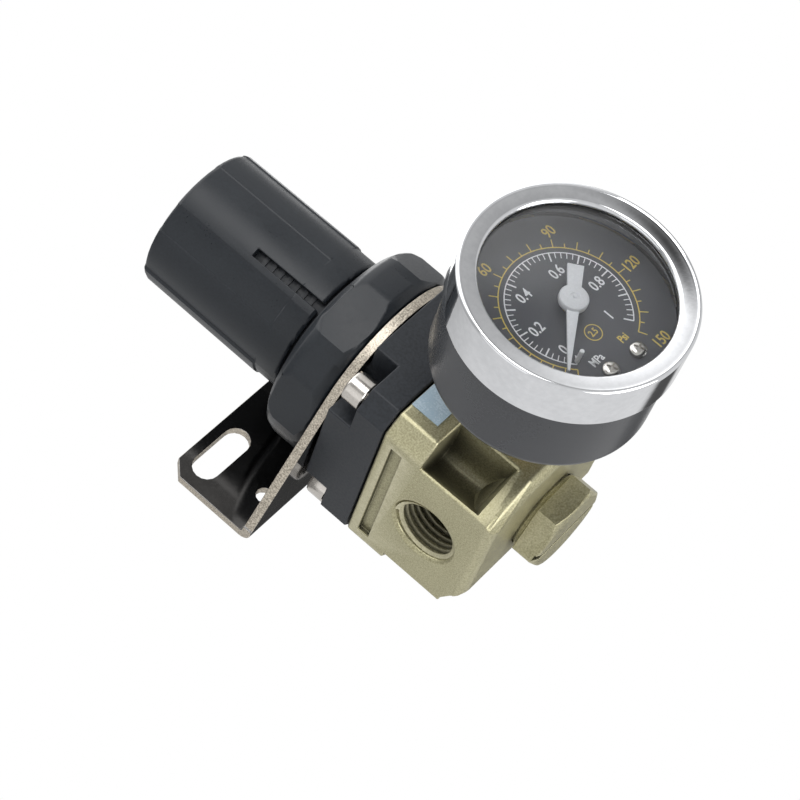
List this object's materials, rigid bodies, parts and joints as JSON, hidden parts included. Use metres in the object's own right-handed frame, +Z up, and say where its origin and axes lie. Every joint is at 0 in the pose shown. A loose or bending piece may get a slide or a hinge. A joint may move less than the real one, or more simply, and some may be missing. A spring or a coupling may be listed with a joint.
{
  "type": "air pressure regulator",
  "caption": "Small air pressure regulator with a 40 mm body, front pressure gauge, panel nut, push-lock knob and an L bracket with two slots.",
  "frame": {"origin": "middle of the bracket foot's back face, level with its two slots", "axes": "+Z up along the setting screw towards the knob, +Y out of the wall side, -Y towards the gauge, +X from the inlet port to the outlet port"},
  "size_m": [0.065, 0.082, 0.0943],
  "materials": {
    "gold_paint": "satin",
    "black_plastic": "satin",
    "nickel": "satin nickel plate",
    "chrome": "polished",
    "brass": "machined",
    "steel": "machined",
    "rubber": "matte",
    "dial_black": "matte",
    "white_paint": "satin",
    "clear_lens": "clear polycarbonate",
    "label_film": "printed film"
  },
  "bodies": {
    "housing": {"body": "gold_paint", "valve_plug": "gold_paint", "plug_o_ring": "rubber", "valve_spring": "steel", "diaphragm": "rubber", "main_spring": "steel", "bonnet": "black_plastic", "bonnet_screw_1": "nickel", "bonnet_screw_2": "nickel", "bonnet_screw_3": "nickel", "bonnet_screw_4": "nickel", "panel_nut": "black_plastic", "bracket": "nickel", "rear_port_plug": "nickel", "label": "label_film", "gauge_socket": "brass", "gauge_case": "black_plastic", "gauge_bezel": "chrome", "gauge_lens": "clear_lens", "lens_gasket": "rubber", "gauge_dial": "dial_black", "dial_screw_1": "nickel", "dial_screw_2": "nickel", "pointer_stop": "white_paint", "hairspring": "steel", "bourdon_tube": "brass", "movement_plate_back": "brass", "movement_plate_front": "brass"},
    "setting_screw": {"adjusting_screw": "steel"},
    "grip": {"knob": "black_plastic"},
    "setting_nut": {"adjusting_nut": "brass"},
    "diaphragm_centre": {"diaphragm_hub": "brass", "diaphragm_plate": "steel"},
    "valve": {"valve_poppet": "brass", "valve_seal": "rubber"},
    "pointer_shaft": {"pointer": "white_paint", "pointer_arbor": "steel"},
    "sector": {"sector_gear": "brass"},
    "gauge_link": {"link": "steel"}
  },
  "joints": [
    {"name": "knob_turn", "type": "hinge", "parent": "housing", "child": "setting_screw", "pos_m": [0, -0.0231, 0.0155], "axis": [0, 0, 1], "range_deg": [-2520, 0]},
    {"name": "knob_pull", "type": "slide", "parent": "setting_screw", "child": "grip", "axis": [0, 0, 1], "range_m": [0, 0.0025]},
    {"name": "nut_travel", "type": "slide", "parent": "housing", "child": "setting_nut", "axis": [0, 0, 1], "range_m": [-0.0106, 0], "deforming": ["main_spring"]},
    {"name": "diaphragm_move", "type": "slide", "parent": "housing", "child": "diaphragm_centre", "axis": [0, 0, 1], "range_m": [-0.0012, 0], "stiffness_N_per_m": 800, "springref_m": 0.002, "deforming": ["diaphragm"]},
    {"name": "valve_open", "type": "slide", "parent": "housing", "child": "valve", "axis": [0, 0, 1], "range_m": [-0.00125, 0], "deforming": ["valve_spring"]},
    {"name": "sector_turn", "type": "hinge", "parent": "housing", "child": "sector", "pos_m": [0, -0.0657, -0.05245], "axis": [0, 1, 0], "range_deg": [-54, 0], "stiffness_Nm_per_rad": 0.0004, "springref_deg": 17.19},
    {"name": "pointer_turn", "type": "hinge", "parent": "housing", "child": "pointer_shaft", "pos_m": [0, -0.0661, -0.0415], "axis": [0, 1, 0], "range_deg": [0, 270]},
    {"name": "link_turn", "type": "hinge", "parent": "sector", "child": "gauge_link", "pos_m": [0.0006, -0.0667, -0.05595], "axis": [0, 1, 0], "range_deg": [0, 54]}
  ],
  "couplings": [
    {"joint": "nut_travel", "follows": "knob_turn", "m_per_rad": 0.00023873},
    {"joint": "valve_open", "follows": "diaphragm_move", "ratio": 1},
    {"joint": "pointer_turn", "follows": "sector_turn", "ratio": -5},
    {"joint": "link_turn", "follows": "sector_turn", "ratio": -1}
  ]
}
